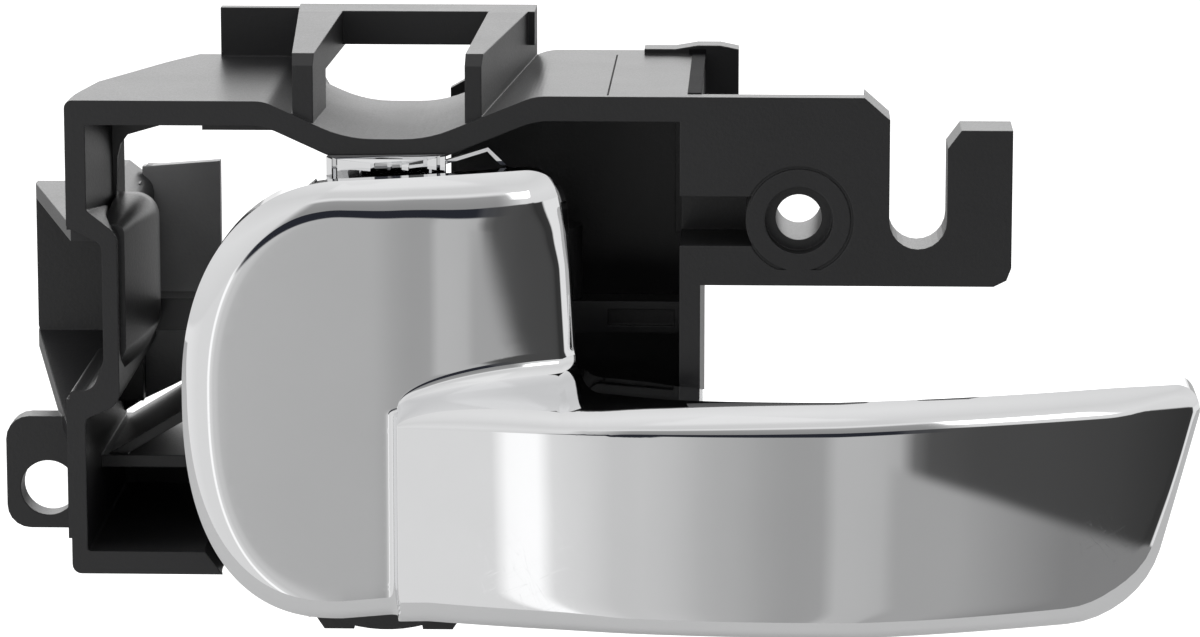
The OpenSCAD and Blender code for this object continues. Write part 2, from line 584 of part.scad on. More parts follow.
module lever_shell() {
    n = len(station_x);
    // One chain of points per station, from the open back over the upper edge and down to the back
    outer = [for (x = station_x) let (t = top_at(x, 0), b = low_at(x, 0), back = back_at(x))
        concat([[x, -back, t]],
            [for (z = outer_rows(x, t, b))
                [x, -max(back + fine, face_at(x, z, 0) - edge_drop(to_edge([x, z]), edge_radius(x), 0)), z]],
            [[x, -back, b]])];
    inner = [for (sx = station_x) let (
            near_rib = [for (r = rib_stations) if (abs(sx - r) < fine / 10) r],
            x = len(near_rib) > 0 ? sx : lever_mid + (sx - lever_mid) * inner_scale,
            t = top_at(x, shell_t), b = low_at(x, shell_t), back = back_at(x))
        concat([[x, -back, t]],
            [for (z = inner_rows(x, t, b)) [x, -max(back + fine, hollow_at(x, z, to_edge([x, z]))), z]],
            [[x, -back, b]])];
    m = len(outer[0]);
    base = n * m;
    sheet = [for (i = [0:n - 2], j = [0:m - 2]) each [[i * m + j, (i + 1) * m + j, (i + 1) * m + j + 1],
        [i * m + j, (i + 1) * m + j + 1, i * m + j + 1]]];
    flip = [for (f = sheet) [base + f[2], base + f[1], base + f[0]]];
    rim = [for (i = [0:n - 2]) each [
        [i * m, base + i * m, base + (i + 1) * m], [i * m, base + (i + 1) * m, (i + 1) * m],
        [i * m + m - 1, base + (i + 1) * m + m - 1, base + i * m + m - 1],
        [i * m + m - 1, (i + 1) * m + m - 1, base + (i + 1) * m + m - 1]]];
    last = (n - 1) * m;
    ends = [[for (j = [0:m - 1]) j], [for (j = [m - 1:-1:0]) last + j],
        [for (j = [m - 1:-1:0]) base + j], [for (j = [0:m - 1]) base + last + j],
        [0, base + m - 1, base], [0, m - 1, base + m - 1],
        [last, base + last + m - 1, last + m - 1], [last, base + last, base + last + m - 1]];
    polyhedron(points = concat([for (c = outer) each c], [for (c = inner) each c]),
        faces = concat(sheet, flip, rim, ends), convexity = 8);
}

// Barrel blocks, with a flat front that runs into the face's inner side
function in_wall(x) = shell_t / 2 - body_at(x);
web_front = [in_wall(hinge_x - barrel_r), in_wall(hinge_x + barrel_r)];
module knuckle(low, high, front) {
    on_hinge(barrel_r, low, high);
    translate([hinge_x, 0, low]) linear_extrude(high - low) polygon([[-barrel_r, front[0]],
        [barrel_r, front[1]], [barrel_r, hinge_depth], [-barrel_r, hinge_depth]]);
}
body_inner_top = body_top_z - 3;
module lever() color("silver") from_rim() difference() {
    union() {
        lever_shell();
        knuckle(upper_knuckle_z, body_inner_top, web_front);
        knuckle(body_inner_top - fine, barrel_top_z, [-3.6, -3.6]);
        on_hinge(barrel_r, barrel_bottom_z, lower_knuckle_z);
        knuckle(bottom_z + floor_t + 0.6, lower_knuckle_z, web_front);
        // Crank arm with a round end for the rod clip
        hull() {
            translate([hinge_x, hinge_depth + arm_len, arm_z]) cylinder(d = arm_w, h = arm_t, $fn = 32);
            block([hinge_x - arm_w / 2, hinge_depth, arm_z],
                [hinge_x + arm_w / 2, hinge_depth + 10, arm_z + arm_t]);
        }
        // Hollow gusset beside the barrel, open to the front, on a strip that ties it to the shell
        slab(0.8, hinge_depth) translate([hinge_x, 0]) difference() {
            polygon([[barrel_r - 1, barrel_top_z], [barrel_r + 0.7, barrel_top_z + 0.6],
                [13.1, barrel_top_z + 2.3], [15.8, body_top_z - 0.2], [15.8, 3], [barrel_r - 1, 3]]);
            polygon([[barrel_r, 4.4], [barrel_r, barrel_top_z - 0.9], [barrel_r + 0.9, barrel_top_z - 0.8],
                [13, barrel_top_z + 0.7], [14.3, body_top_z - 0.8], [14.3, 4.4]]);
        }
        block([hinge_x + barrel_r - 1, -3.4, 3], [hinge_x + 15.8, hinge_depth, 4.4]);
        // Rib that the spring's lower leg rests on
        block([hinge_x + 1 - spring_leg, in_wall(hinge_x + 1 - spring_leg), coil_bottom_z - 3],
            [hinge_x + 1 - spring_leg + rib_t, hinge_depth - coil_d / 2 - wire_d / 2, coil_bottom_z + 3]);
    }
    on_hinge(bush_r + seat_play, barrel_bottom_z - 1, barrel_top_z + 1);
    on_hinge(bush_r + 1.4, barrel_top_z - bush_flange_t, barrel_top_z + 1);
    on_hinge(bush_r + 1.4, barrel_bottom_z - 1, barrel_bottom_z + bush_flange_t);
    translate([hinge_x, hinge_depth + arm_len, arm_z - 1]) cylinder(r = clip_stem_r + pin_play, h = arm_t + 2);
}

module pivot_pin() color("#b4b8bd") from_rim() {
    groove = 0.4;
    tip = 0.4;
    low = ear_top_z - ear_t + 0.3;
    high = trough_z - blind_cap - 0.2;
    difference() {
        union() {
            on_hinge(pin_r, low + tip, high - tip);
            translate([hinge_x, hinge_depth, low]) cylinder(r1 = pin_r - tip, r2 = pin_r, h = tip);
            translate([hinge_x, hinge_depth, high - tip]) cylinder(r1 = pin_r, r2 = pin_r - tip, h = tip);
        }
        difference() {
            on_hinge(pin_r + 1, ear_top_z + seat_play, ear_top_z + clip_t + 2 * seat_play);
            on_hinge(pin_r - groove, ear_top_z - 1, ear_top_z + clip_t + 1);
        }
    }
}

module retaining_clip() color("#8d9096") from_rim() {
    grip_r = pin_r - 0.4 + seat_play;
    translate([hinge_x, hinge_depth, ear_top_z + seat_play]) linear_extrude(clip_t) difference() {
        circle(r = pin_r + 2);
        circle(r = grip_r);
        translate([-grip_r * 0.9, 0]) square([grip_r * 1.8, pin_r + 3]);
        for (side = [-1, 1]) translate([side * (pin_r + 0.5), -0.3]) circle(r = 0.7);
    }
}

module bush(seat_z, way) {
    // A flanged tube that runs inwards from the barrel's end
    inner = pin_r + pin_play;
    translate([hinge_x, hinge_depth, seat_z]) rotate([way > 0 ? 0 : 180, 0, 0]) difference() {
        union() {
            cylinder(r = bush_r, h = bush_len);
            cylinder(r = bush_r + 1.2, h = bush_flange_t - seat_play);
        }
        translate([0, 0, -1]) cylinder(r = inner, h = bush_len + 2);
    }
}
module upper_bush() color("#e7e2d4") from_rim() bush(barrel_top_z, -1);
module lower_bush() color("#e7e2d4") from_rim() bush(barrel_bottom_z, 1);

// Return spring: a coil round the pin with a long leg to the cross bar and a short one to the lever
module return_spring() color("#a4a9af") from_rim() {
    per_turn = 12;
    sides = 8;
    mean = coil_d / 2;
    sweep = coil_turns * 360 + 90;
    count = floor(sweep / 360 * per_turn);
    coil = [for (i = [0:count]) let (a = -90 + sweep * i / count)
        [mean * cos(a), mean * sin(a), coil_bottom_z + (coil_top_z - coil_bottom_z) * i / count]];
    path = concat([[-spring_leg, -mean, coil_bottom_z], [-spring_leg / 3, -mean, coil_bottom_z]], coil,
        [[mean, 4, coil_top_z], [mean, bar_y - hinge_depth - 0.5, coil_top_z]]);
    rings = [for (i = [0:len(path) - 1]) let (
            ahead = unit(path[min(i + 1, len(path) - 1)] - path[max(i - 1, 0)]),
            side = unit(cross(ahead, [0, 0, 1])),
            lift = cross(side, ahead))
        [for (k = [0:sides - 1]) let (a = k * 360 / sides)
            path[i] + wire_d / 2 * (cos(a) * side + sin(a) * lift)]];
    last = (len(path) - 1) * sides;
    translate([hinge_x, hinge_depth, 0]) polyhedron(points = [for (r = rings) each r],
        faces = concat([[for (k = [0:sides - 1]) k]], [[for (k = [sides - 1:-1:0]) last + k]],
            [for (i = [0:len(path) - 2], k = [0:sides - 1])
                let (a = i * sides + k, b = i * sides + (k + 1) % sides)
                each [[a, a + sides, b + sides], [a, b + sides, b]]]), convexity = 10);
}

module bumper(x) {
    // Head up past the arm, stem through the bar and barb below it
    head_top = arm_z + arm_t + 1;
    barb_h = 1.6;
    translate([x, bumper_y, 0]) {
        translate([0, 0, bar_top_z]) cylinder(d = bumper_d, h = head_top - bar_top_z);
        translate([0, 0, bar_top_z - bar_h - barb_h / 2])
            cylinder(d = bumper_d / 2 - 2 * seat_play, h = bar_h + barb_h / 2 + fine);
        translate([0, 0, bar_top_z - bar_h - barb_h - seat_play])
            cylinder(r1 = bumper_d / 4 - 0.3, r2 = bumper_d / 4 + 0.5, h = barb_h);
    }
}
module rest_bumper() color("#1b1b1c") from_rim() bumper(rest_bumper_x);
module travel_bumper() color("#1b1b1c") from_rim() bumper(travel_bumper_x);

// Rod clip: a round snap-in body above the arm with a side arm that takes the latch rod
module rod_clip() color("#efeee8") from_rim() translate([hinge_x, hinge_depth + arm_len, 0]) difference() {
    body = [6, 5.2, rod_d + 2.4];
    barb_h = 1.3;
    union() {
        translate([0, 0, arm_z - barb_h - 0.1])
            cylinder(r1 = clip_stem_r - 0.5, r2 = clip_stem_r + 0.3, h = barb_h);
        translate([0, 0, arm_z - 0.2]) cylinder(r = clip_stem_r, h = arm_t + 0.6);
        translate([0, 0, clip_collar_z]) cylinder(r = clip_stem_r + 1.6, h = clip_collar_t);
        translate([-body[0] / 2, -body[1] / 2, clip_body_z]) cube(body);
    }
    // The rod lies in the bore, and snaps in through the slot above it
    translate([-body[0], 0, rod_z]) rotate([0, 90, 0]) cylinder(d = rod_d, h = 2 * body[0]);
    translate([-body[0], -rod_d * 0.4, rod_z]) cube([2 * body[0], rod_d * 0.8, rod_d + 2]);
}

housing();
lever();
pivot_pin();
retaining_clip();
return_spring();
upper_bush();
lower_bush();
rest_bumper();
travel_bumper();
rod_clip();
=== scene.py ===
import math

import bpy
import bmesh
import numpy as np
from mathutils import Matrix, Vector
from mathutils.geometry import delaunay_2d_cdt


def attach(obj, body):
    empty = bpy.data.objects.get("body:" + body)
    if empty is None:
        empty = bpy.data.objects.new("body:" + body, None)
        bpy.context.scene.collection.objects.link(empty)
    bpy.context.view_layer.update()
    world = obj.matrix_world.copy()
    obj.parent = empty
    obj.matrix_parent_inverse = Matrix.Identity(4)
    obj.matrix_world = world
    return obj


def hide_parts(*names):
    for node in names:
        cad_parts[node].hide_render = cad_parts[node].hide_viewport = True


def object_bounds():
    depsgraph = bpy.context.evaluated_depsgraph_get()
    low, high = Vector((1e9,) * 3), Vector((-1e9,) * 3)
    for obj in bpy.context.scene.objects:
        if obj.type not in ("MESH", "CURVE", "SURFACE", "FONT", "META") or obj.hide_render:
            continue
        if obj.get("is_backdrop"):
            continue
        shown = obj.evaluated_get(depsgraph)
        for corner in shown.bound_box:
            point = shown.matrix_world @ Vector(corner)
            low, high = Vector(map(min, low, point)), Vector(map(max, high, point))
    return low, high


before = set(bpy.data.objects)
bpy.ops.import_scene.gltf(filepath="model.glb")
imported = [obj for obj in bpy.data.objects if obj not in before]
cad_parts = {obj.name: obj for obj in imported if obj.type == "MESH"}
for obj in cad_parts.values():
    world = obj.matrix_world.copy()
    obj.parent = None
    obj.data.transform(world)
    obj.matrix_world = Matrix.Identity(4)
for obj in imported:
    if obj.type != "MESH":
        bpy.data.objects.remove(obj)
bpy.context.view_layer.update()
MM = 0.001
SEAT = 15.5          # the seat lies this far behind the housing's front rim, in millimetres

# ---------------------------------------------------------------- camera
PITCH, YAW = math.radians(10.9), math.radians(1.95)
cam_data = bpy.data.cameras.new("camera")
cam_data.lens, cam_data.sensor_width = 158.43, 36
cam_data.clip_start, cam_data.clip_end = 0.05, 30
cam = bpy.data.objects.new("camera", cam_data)
bpy.context.collection.objects.link(cam)
cam.location = (-0.0027, -0.6665, 0.1128)
cam.rotation_mode = "QUATERNION"
cam.rotation_quaternion = Vector((-math.sin(YAW) * math.cos(PITCH), math.cos(YAW) * math.cos(PITCH),
                                  -math.sin(PITCH))).to_track_quat("-Z", "Y")
bpy.context.scene.camera = cam
bpy.context.scene.view_settings.view_transform = "Standard"


# ---------------------------------------------------------------- node helpers
class Graph:
    """Short calls for building a node tree."""

    def __init__(self, tree):
        self.tree = tree
        tree.nodes.clear()

    def node(self, kind, inputs=(), **settings):
        n = self.tree.nodes.new(kind)
        for k, v in settings.items():
            setattr(n, k, v)
        for k, v in dict(inputs).items():
            self.put(n.inputs[k], v)
        return n

    def put(self, socket, value):
        if isinstance(value, bpy.types.NodeSocket):
            self.tree.links.new(value, socket)
        else:
            socket.default_value = value

    def math(self, op, *args, clamp=False):
        n = self.tree.nodes.new("ShaderNodeMath")
        n.operation, n.use_clamp = op, clamp
        for i, a in enumerate(args):
            self.put(n.inputs[i], a)
        return n.outputs[0]

    def step(self, value, low, high, a=0.0, b=1.0):
        n = self.node("ShaderNodeMapRange", {0: value, 1: low, 2: high, 3: a, 4: b},
                      interpolation_type="SMOOTHSTEP")
        return n.outputs[0]

    def noise(self, vector, scale, detail=2.0, rough=0.5):
        return self.node("ShaderNodeTexNoise", {"Vector": vector, "Scale": scale, "Detail": detail,
                                                "Roughness": rough}).outputs["Fac"]

    def ramp(self, value, stops):
        n = self.tree.nodes.new("ShaderNodeValToRGB")
        e = n.color_ramp.elements
        while len(e) > 1:
            e.remove(e[0])
        e[0].position, e[0].color = stops[0][0], grey(stops[0][1])
        for p, c in stops[1:]:
            e.new(p).color = grey(c)
        self.put(n.inputs[0], value)
        return n.outputs[0]

    def mix(self, factor, a, b):
        n = self.tree.nodes.new("ShaderNodeMix")
        n.data_type = "RGBA"
        self.put(n.inputs[0], factor)
        self.put(n.inputs[6], a if isinstance(a, bpy.types.NodeSocket) else grey(a))
        self.put(n.inputs[7], b if isinstance(b, bpy.types.NodeSocket) else grey(b))
        return n.outputs[2]


def grey(c):
    return (c, c, c, 1.0) if isinstance(c, (int, float)) else tuple(c) + (1.0,) * (4 - len(c))


# ---------------------------------------------------------------- studio: world, floor and lamps
def studio():
    world = bpy.data.worlds.new("studio")
    bpy.context.scene.world = world
    world.use_nodes = True
    g = Graph(world.node_tree)
    way = g.node("ShaderNodeTexCoord").outputs["Generated"]
    xyz = g.node("ShaderNodeSeparateXYZ", {0: way}).outputs
    az = g.math("MULTIPLY", g.math("ARCTAN2", xyz[0], g.math("MULTIPLY", xyz[1], -1.0)), 180 / math.pi)
    el = g.math("MULTIPLY", g.math("ARCSINE", xyz[2]), 180 / math.pi)
    turn = g.math("DIVIDE", g.math("ADD", az, 180.0), 360.0)

    def around(stops):
        return g.ramp(turn, [((a + 180) / 360, v) for a, v in stops])
    # The room in front of the object, from left to right, below the horizon
    room = around([(-180, 0.86), (-95, 0.86), (-75, 0.84), (-45, 0.76), (-26.7, 0.755), (-18, 0.755), (-16.8, 1.12),
                   (-13.9, 1.12), (-12.6, 0.76), (-9.6, 0.70), (-6.7, 0.60), (-3.9, 0.61), (-1, 0.56), (1.9, 0.47),
                   (4.8, 0.44), (7.6, 0.38), (10.5, 0.354), (13.0, 0.37), (13.9, 0.50), (16.2, 0.50), (19.6, 0.46),
                   (21.4, 0.09), (27, 0.068), (33, 0.066), (39, 0.057), (45, 0.036), (59, 0.04), (63, 0.84),
                   (95, 0.84), (180, 0.86)])
    # A dark thing right of the camera, and the paler floor under it
    edge = g.math("ADD", g.math("MULTIPLY", g.math("SUBTRACT", az, 25.7), -0.22), -11.2)
    under = g.math("MULTIPLY", g.step(g.math("SUBTRACT", edge, el), -0.5, 0.5),
                   g.math("MULTIPLY", g.step(az, 18.0, 20.0), g.step(az, 90.0, 70.0)))
    room = g.mix(under, room, around([(-180, 0.39), (25, 0.39), (35, 0.24), (180, 0.22)]))
    # The dark band at the horizon, and the bright ceiling
    front = g.math("MULTIPLY", g.step(az, -100.0, -60.0), g.step(az, 100.0, 72.0))
    thin = g.step(az, -16.0, -3.0)
    upper = g.math("ADD", 1.0, g.math("MULTIPLY", thin, 9.0))
    fade = g.math("MULTIPLY", g.step(az, -17.0, -10.0), g.step(az, 25.0, 19.0))
    low_edge = g.math("ADD", -1.0, g.math("MULTIPLY", thin, -2.0))
    band = g.math("MULTIPLY", g.math("MULTIPLY", front, fade), g.math("MULTIPLY", g.step(
        g.math("SUBTRACT", el, low_edge), -1.0, 1.0), g.step(g.math("SUBTRACT", upper, el), -1.0, 1.0)))
    room = g.mix(band, room, (0.022, 0.024, 0.032))
    ceiling = g.ramp(g.math("DIVIDE", el, 90.0), [(0.0, 0.27), (0.2, 0.30), (0.33, 0.34), (0.38, 0.8), (0.4, 0.84),
                                                  (0.46, 0.68), (0.6, 0.70), (0.72, 0.86), (1.0, 0.88)])
    plain = g.math("MAXIMUM", g.step(az, -5.0, -12.0), g.step(az, 22.0, 27.0))
    ceiling = g.mix(plain, ceiling, g.ramp(g.math("DIVIDE", el, 90.0),
                                           [(0.0, 0.72), (0.3, 0.8), (0.6, 0.72), (1.0, 0.86)]))
    room = g.mix(g.step(g.math("SUBTRACT", el, upper), -1.0, 1.0), room, ceiling)
    # A large soft panel above and behind the object
    behind = g.math("MULTIPLY", g.step(g.math("ABSOLUTE", az), 125.0, 150.0),
                    g.math("MULTIPLY", g.step(el, 0.0, 6.0), g.step(el, 50.0, 38.0)))
    room = g.mix(behind, room, 1.9)
    box = g.math("MULTIPLY", g.math("MULTIPLY", g.step(az, 24.0, 26.0), g.step(az, 41.0, 39.0)),
                 g.math("MULTIPLY", g.step(el, 21.0, 22.0), g.step(el, 36.0, 35.0)))
    room = g.mix(box, room, 2.6)
    seen = g.node("ShaderNodeLightPath").outputs["Is Camera Ray"]
    colour = g.mix(seen, room, 1.0)
    back = g.node("ShaderNodeBackground", {"Color": colour, "Strength": 1.0})
    g.node("ShaderNodeOutputWorld", {"Surface": back.outputs[0]})


def floor():
    bm = bmesh.new()
    for x, y in ((-3, -0.13), (3, -0.13), (3, 6), (-3, 6)):
        bm.verts.new((x, y, -0.16))
    bm.faces.new(bm.verts)
    me = bpy.data.meshes.new("floor")
    bm.to_mesh(me)
    ob = bpy.data.objects.new("floor", me)
    bpy.context.collection.objects.link(ob)
    mat = bpy.data.materials.new("floor")
    mat.use_nodes = True
    g = Graph(mat.node_tree)
    seen = g.node("ShaderNodeLightPath").outputs["Is Camera Ray"]
    diffuse = g.node("ShaderNodeBsdfDiffuse", {"Color": grey(0.5)}).outputs[0]
    glow = g.node("ShaderNodeEmission", {"Color": grey(1.0), "Strength": g.math("MULTIPLY", seen, 0.82)}).outputs[0]
    both = g.node("ShaderNodeAddShader", {0: diffuse, 1: glow}).outputs[0]
    g.node("ShaderNodeOutputMaterial", {"Surface": both})
    me.materials.append(mat)
    ob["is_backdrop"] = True


def lamp(name, place, aim, size, power):
    data = bpy.data.lights.new(name, "AREA")
    data.shape, data.size, data.energy = "DISK", size, power
    ob = bpy.data.objects.new(name, data)
    bpy.context.collection.objects.link(ob)
    ob.location = place
    ob.rotation_mode = "QUATERNION"
    ob.rotation_quaternion = (Vector(aim) - Vector(place)).to_track_quat("-Z", "Y")
    ob.visible_glossy = False


# ---------------------------------------------------------------- materials
def new_material(name):
    mat = bpy.data.materials.new(name)
    mat.use_nodes = True
    return mat, Graph(mat.node_tree)


def plastic(name, colour, rough, grain=0.3, edge=0.25, spread=0.06, specular=0.5):
    """Moulded plastic with a fine grain, cloudy sheen and slightly rounded edges."""
    mat, g = new_material(name)
    at = g.node("ShaderNodeTexCoord").outputs["Object"]
    cloud = g.noise(at, 95.0, 4.0, 0.6)
    fine = g.noise(at, 4200.0, 2.0, 0.6)
    specks = g.node("ShaderNodeTexVoronoi", {"Vector": at, "Scale": 1900.0}).outputs["Distance"]
    tone = g.math("ADD", 0.82, g.math("MULTIPLY", cloud, 0.36))
    base = g.node("ShaderNodeVectorMath", {0: tuple(colour), "Scale": tone}, operation="SCALE").outputs[0]
    r = g.math("ADD", rough - spread, g.math("MULTIPLY", cloud, 2 * spread))
    r = g.math("ADD", r, g.math("MULTIPLY", g.math("SUBTRACT", fine, 0.5), 0.16), clamp=True)
    soft = g.node("ShaderNodeBevel", {"Radius": edge * MM}, samples=4).outputs[0]
    height = g.math("ADD", g.math("MULTIPLY", fine, 0.7), g.math("MULTIPLY", specks, 0.5))
    bump = g.node("ShaderNodeBump", {"Strength": grain, "Distance": 0.00006, "Height": height,
                                     "Normal": soft}).outputs[0]
    p = g.node("ShaderNodeBsdfPrincipled", {"Base Color": base, "Roughness": r, "Normal": bump,
                                            "Specular IOR Level": specular})
    g.node("ShaderNodeOutputMaterial", {"Surface": p.outputs[0]})
    return mat


def metal(name, colour, rough, edge=0.0, scratches=0.0, waves=0.0):
    """Metal or plating with slight waviness, smudges and fine scratches."""
    mat, g = new_material(name)
    at = g.node("ShaderNodeTexCoord").outputs["Object"]
    smudge = g.noise(at, 70.0, 5.0, 0.65)
    tone = g.math("ADD", 0.965, g.math("MULTIPLY", smudge, 0.06))
    base = g.node("ShaderNodeVectorMath", {0: tuple(colour), "Scale": tone}, operation="SCALE").outputs[0]
    r = g.math("ADD", rough * 0.6, g.math("MULTIPLY", smudge, rough * 0.8))
    normal = None
    if edge:
        normal = g.node("ShaderNodeBevel", {"Radius": edge * MM}, samples=4).outputs[0]
    if waves:
        w = g.noise(at, 55.0, 1.0, 0.4)
        inputs = {"Strength": waves, "Distance": 0.0004, "Height": w}
        if normal is not None:
            inputs["Normal"] = normal
        normal = g.node("ShaderNodeBump", inputs).outputs[0]
    if scratches:
        lines = None
        for turn, scale, seed in ((0.5, 900.0, 3.0), (-0.9, 1200.0, 8.0), (1.9, 1000.0, 14.0)):
            m = g.node("ShaderNodeMapping", {"Vector": at, "Rotation": (0.0, turn, 0.0),
                                             "Location": (seed, seed, seed)}).outputs[0]
            stretched = g.node("ShaderNodeVectorMath", {0: m, 1: (0.05, 0.02, 1.0)},
                               operation="MULTIPLY").outputs[0]
            n = g.noise(stretched, scale, 1.0, 0.5)
            line = g.step(g.math("ABSOLUTE", g.math("SUBTRACT", n, 0.5)), 0.006, 0.0)
            lines = line if lines is None else g.math("MAXIMUM", lines, line)
        patch = g.step(g.noise(at, 28.0, 2.0, 0.5), 0.5, 0.66)
        lines = g.math("MULTIPLY", lines, patch)
        r = g.math("ADD", r, g.math("MULTIPLY", lines, scratches), clamp=True)
    inputs = {"Base Color": base, "Metallic": 1.0, "Roughness": r}
    if normal is not None:
        inputs["Normal"] = normal
    p = g.node("ShaderNodeBsdfPrincipled", inputs)
    g.node("ShaderNodeOutputMaterial", {"Surface": p.outputs[0]})
    return mat


# ---------------------------------------------------------------- lever: shape of the shell
HX, HY = -52.0, 4.0
LEFT = HX - 24.8
RIGHT = LEFT + 127.2
BODY_RIGHT = HX + 24
TOP, GRIP_TOP, GRIP_BOTTOM, MID_Z, BODY_BOTTOM = 6.5, -20.7, -50.6, -21.0, -50.0
SHELL = 2.0
STEP_X = HX + 2.2                  # where the grip rises out of the body
STEP_GAP = 0.7                     # the plain grid keeps this far from the step
BLEND_RIGHT = BODY_RIGHT - 1.4     # right end of the curved blend between body and grip
BLEND_LOW = -24.4                  # its lower end
BLEND_MIN = 1.9                    # its least height
HEAD_MID, HEAD_HALF = HX + 0.4, 8.4   # the hinge's head needs room in the side wall here
HEAD_ROOM_LOW = 3.0
EDGE_ANGLE = math.radians(50)      # the rounded edges stop short of upright
EDGE_WIDTH = 0.88                  # width of the rounded edge as a share of its radius
EDGE_POWER = 1.55                  # above 1 the rounding sets in softly


def corner(a, b, c, r, n):
    a, b, c = (np.array(p, float) for p in (a, b, c))
    if r == 0:
        return [b]
    u, v = (a - b) / np.linalg.norm(a - b), (c - b) / np.linalg.norm(c - b)
    half = math.acos(max(-1, min(1, float(u @ v)))) / 2
    mid = b + (u + v) / np.linalg.norm(u + v) * r / math.sin(half)
    p, q = b + u * r / math.tan(half) - mid, b + v * r / math.tan(half) - mid
    sweep = math.pi - 2 * half
    return [mid + (p * math.sin(sweep * (1 - i / n)) + q * math.sin(sweep * i / n)) / math.sin(sweep)
            for i in range(n + 1)]


def rounded(points):
    out = []
    for a, b, c in zip(points, points[1:], points[2:]):
        out += corner(a[:2], b[:2], c[:2], b[2], 14 if b[2] < 8 else 8)
    return out


def lever_outline():
    """The lever's outline as seen from the front, clockwise from its left end, evenly and closely spaced."""
    ux, lx = HX - 4, HX - 5
    arc = np.linspace(0, math.pi / 2, 60)

    def swell(cx, rx, rz, power, way, angles):
        c, s = np.cos(angles) ** (2 / power), np.sin(angles) ** (2 / power)
        return [np.array((cx - rx * a, MID_Z + way * rz * b)) for a, b in zip(c, s)]
    up = swell(ux, ux - LEFT, TOP - 0.7 - MID_Z, 2.2, 1, arc)
    top = rounded([(ux, TOP - 0.7), (BODY_RIGHT - 1.2, TOP + 0.3, 5.2), (BODY_RIGHT + 0.35, GRIP_TOP + 0.6, 3.6),
                   (BODY_RIGHT + 12, GRIP_TOP + 0.1, 30), (HX + 57, GRIP_TOP - 0.1, 30),
                   (RIGHT + 0.2, GRIP_TOP + 0.7, 3.2), (RIGHT - 0.2, GRIP_TOP - 3.8)])
    low = rounded([(RIGHT - 0.2, GRIP_TOP - 3.8), (RIGHT - 7.4, GRIP_BOTTOM + 1.0, 12.5), (HX + 60, GRIP_BOTTOM, 40),
                   (HX + 6, BODY_BOTTOM + 0.8, 10), (lx, BODY_BOTTOM)])
    down = swell(lx, lx - LEFT, MID_Z - BODY_BOTTOM, 2.45, -1, arc[::-1])
    ring = np.array(up + top + low + down[:-1])
    # Even spacing, finer where it bends
    loop = np.vstack([ring, ring[:1]])
    seg = np.linalg.norm(np.diff(loop, axis=0), axis=1)
    keep = np.concatenate([[True], seg > 1e-6])
    loop, seg = loop[keep], seg[seg > 1e-6]
    at = np.concatenate([[0], np.cumsum(seg)])
    t = np.linspace(0, at[-1], 1000, endpoint=False)
    return np.c_[np.interp(t, at, loop[:, 0]), np.interp(t, at, loop[:, 1])]


RING = lever_outline()
NEXT = np.roll(RING, -1, axis=0)
SIDE = NEXT - RING
SIDE = np.c_[SIDE[:, 1], -SIDE[:, 0]] / np.linalg.norm(SIDE, axis=1)[:, None]   # inwards for a clockwise ring
CORNER_IN = SIDE + np.roll(SIDE, 1, axis=0)
CORNER_IN /= np.linalg.norm(CORNER_IN, axis=1)[:, None]


def to_edge(p):
    """Distance of each point to the outline, and the direction inwards at the nearest place."""
    dist, inward = np.empty(len(p)), np.empty((len(p), 2))
    ab = NEXT - RING
    for i in range(0, len(p), 2000):
        q = p[i:i + 2000, None, :]
        t = np.clip(((q - RING) * ab).sum(2) / (ab * ab).sum(1), 0, 1)
        d = np.linalg.norm(q - RING - t[..., None] * ab, axis=2)
        k = d.argmin(1)
        row = np.arange(len(k))
        dist[i:i + 2000] = d[row, k]
        w = t[row, k][:, None]
        n = CORNER_IN[k] * (1 - w) + CORNER_IN[(k + 1) % len(RING)] * w
        inward[i:i + 2000] = n / np.linalg.norm(n, axis=1)[:, None]
    return dist, inward


def ease(t):
    t = np.clip(t, 0, 1)
    return t * t * (3 - 2 * t)


def body_at(x):
    return 8.6 - 0.07 * (x + 56) - 0.0051 * np.maximum(0, x + 53.2) ** 2


def grip_at(x, z):
    return 16 - (x + 15) ** 2 / 340 - (z + 36) ** 2 / 600


def blend_top(x):
    """Upper end of the blend: a quarter of an ellipse over the body, then a slope."""
    s = np.clip((BLEND_RIGHT - x) / (BLEND_RIGHT - STEP_X), 0, 1)
    return np.where(x > BLEND_RIGHT, -16.1 + (x - BLEND_RIGHT) * 0.5, -22.5 + 6.4 * np.sqrt(1 - s * s))


def rise(u, a=0.44, b=0.5):
    """From 0 to 1: a hollow fillet that sets in softly, a slope and a long round shoulder."""
    u = np.clip(u, 0, 1)
    k = 1 / (0.5 + b / 2 - 2 * a / 3)
    return k * np.where(u < a, u ** 3 / (3 * a * a), np.where(
        u < b, u - 2 * a / 3, u - 2 * a / 3 - (u - b) ** 2 / (2 * (1 - b))))


def face_at(x, z, hollow=0.0):
    body, grip = body_at(x), grip_at(x, z)
    top = blend_top(x)
    h = np.maximum(0, (grip - body)) * rise((top - hollow - z) / np.maximum(BLEND_MIN, top - BLEND_LOW))
    fillet, reach, nose = 1.3, 2.0, 0.35
    s = np.minimum(1, h / (fillet + nose + 1e-9))
    f, e = fillet * s, nose * s
    u = x - STEP_X - hollow
    low = f * np.clip(1 + u / reach, 0, 1) ** 4
    high = h - e + np.sqrt(np.maximum(0, e * e - np.clip(e - u, 0, e) ** 2))
    return body + np.where(u < 0, low, high)


